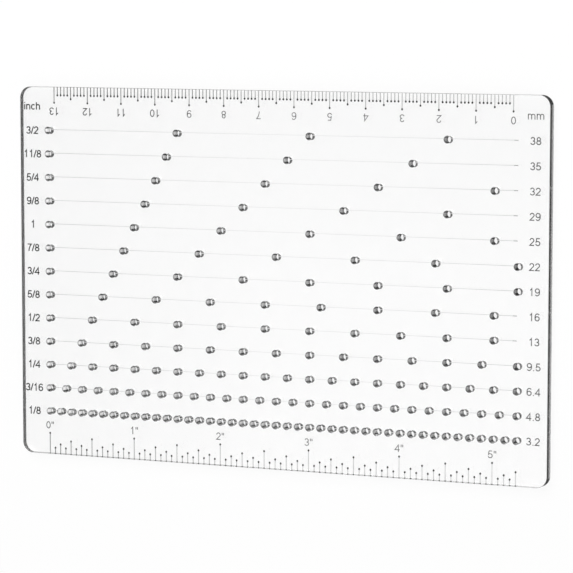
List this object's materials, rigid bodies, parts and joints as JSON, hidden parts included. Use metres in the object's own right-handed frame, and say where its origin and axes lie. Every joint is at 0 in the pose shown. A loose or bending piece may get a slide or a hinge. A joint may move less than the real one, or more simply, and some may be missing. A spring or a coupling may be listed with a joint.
{
  "type": "hole spacing ruler",
  "caption": "Clear flat plate ruler with rounded corners, rows of small through holes at graded spacings, and engraved inch and centimetre scales along its two long edges.",
  "frame": {"origin": "middle of the plate's back face, which lies on the work", "axes": "+X along the scales, to the right as the row labels read; +Y across the rows, to the centimetre edge; +Z out of the engraved face"},
  "size_m": [0.15, 0.1, 0.003],
  "materials": {
    "clear_acrylic": "clear polished faces, laser-cut edges"
  },
  "bodies": {
    "root": {"ruler_plate": "clear_acrylic"}
  },
  "joints": []
}
